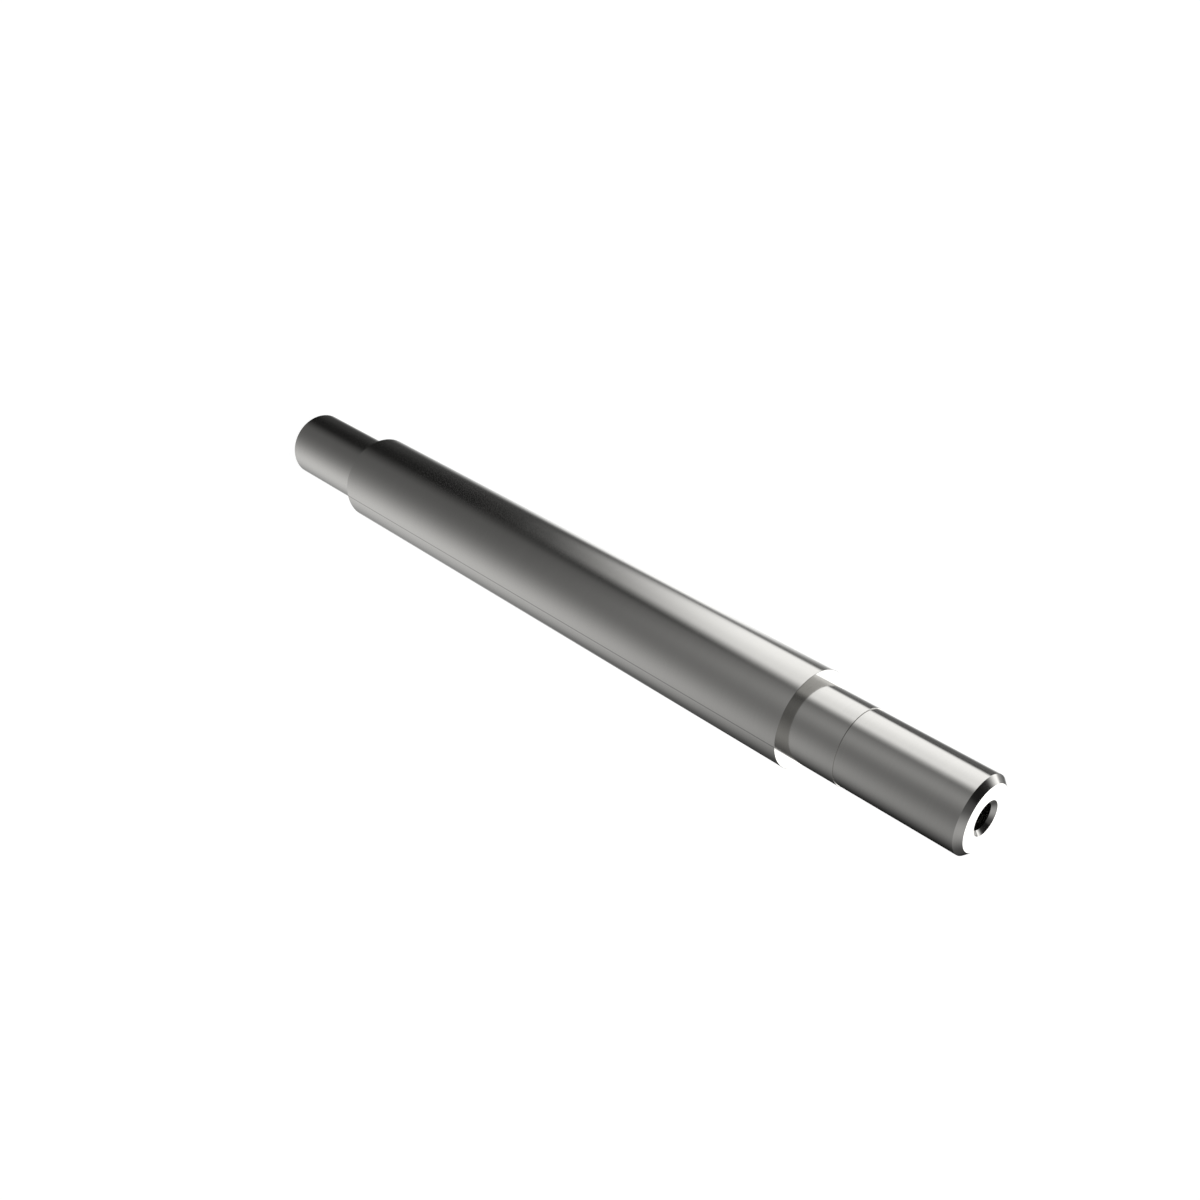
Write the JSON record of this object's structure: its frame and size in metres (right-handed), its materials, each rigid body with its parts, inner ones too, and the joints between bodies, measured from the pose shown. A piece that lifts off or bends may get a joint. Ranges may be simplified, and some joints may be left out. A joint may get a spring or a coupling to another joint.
{
  "type": "input shaft",
  "caption": "Stepped turned-steel input shaft: plain journal, long main body, shouldered bearing surface and chamfered end journal with a tapped axial hole.",
  "frame": {"origin": "centre of the plain end face, which the shaft stands on", "axes": "+Z along the shaft's axis, from the plain end towards the chamfered end with the tapped hole"},
  "size_m": [0.032, 0.032, 0.313],
  "materials": {
    "ground_steel": "fine ground, satin"
  },
  "bodies": {
    "root": {"input_shaft": "ground_steel"}
  },
  "joints": []
}
